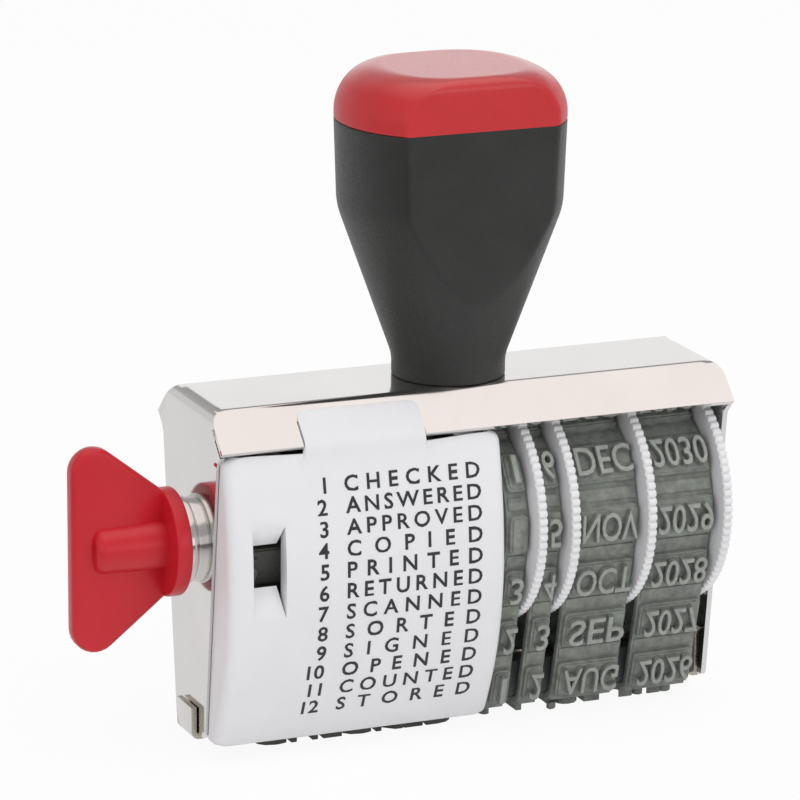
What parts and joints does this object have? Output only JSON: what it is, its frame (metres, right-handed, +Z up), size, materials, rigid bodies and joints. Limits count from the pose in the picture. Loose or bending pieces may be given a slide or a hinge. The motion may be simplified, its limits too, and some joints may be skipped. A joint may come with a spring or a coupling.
{
  "type": "date stamp",
  "caption": "Hand date stamp: sheet-metal frame with a capped grip, printing bands turned by thumb wheels, and a covered phrase band turned by a winged key.",
  "frame": {"origin": "centre of the printing face under the handle's axis", "axes": "+X along the frame towards the year wheel, -Y towards the front with the cover, +Z up the handle"},
  "size_m": [0.0892, 0.0302, 0.0874],
  "materials": {
    "bright_nickel": "polished",
    "handle_plastic": "fine texture",
    "cap_plastic": "satin",
    "key_plastic": "gloss",
    "white_plastic": "satin",
    "platen_plastic": "matt",
    "band_rubber": "matt",
    "bright_steel": "bright",
    "insert_brass": "turned"
  },
  "bodies": {
    "stamp_body": {"frame": "bright_nickel", "handle_body": "handle_plastic", "handle_cap": "cap_plastic", "handle_insert": "insert_brass", "handle_screw": "bright_steel", "handle_washer": "bright_steel", "cover": "white_plastic", "former_strap": "bright_nickel", "platen": "platen_plastic", "key_bush": "bright_nickel", "phrase_band": "band_rubber", "tens_band": "band_rubber", "units_band": "band_rubber", "month_band": "band_rubber", "year_band": "band_rubber"},
    "phrase_key": {"key": "key_plastic", "axle": "bright_steel", "phrase_drum": "white_plastic", "drum_pin": "bright_steel", "drum_spacer": "bright_steel", "axle_clip": "bright_steel"},
    "tens_dial": {"tens_wheel": "white_plastic"},
    "units_dial": {"units_wheel": "white_plastic"},
    "month_dial": {"month_wheel": "white_plastic"},
    "year_dial": {"year_wheel": "white_plastic"}
  },
  "joints": [
    {"name": "phrase_key_turn", "type": "hinge", "parent": "stamp_body", "child": "phrase_key", "pos_m": [0, 0, 0.028], "axis": [1, 0, 0], "continuous": true},
    {"name": "tens_wheel_turn", "type": "hinge", "parent": "stamp_body", "child": "tens_dial", "pos_m": [0, 0, 0.028], "axis": [1, 0, 0], "continuous": true},
    {"name": "units_wheel_turn", "type": "hinge", "parent": "stamp_body", "child": "units_dial", "pos_m": [0, 0, 0.028], "axis": [1, 0, 0], "continuous": true},
    {"name": "month_wheel_turn", "type": "hinge", "parent": "stamp_body", "child": "month_dial", "pos_m": [0, 0, 0.028], "axis": [1, 0, 0], "continuous": true},
    {"name": "year_wheel_turn", "type": "hinge", "parent": "stamp_body", "child": "year_dial", "pos_m": [0, 0, 0.028], "axis": [1, 0, 0], "continuous": true}
  ]
}
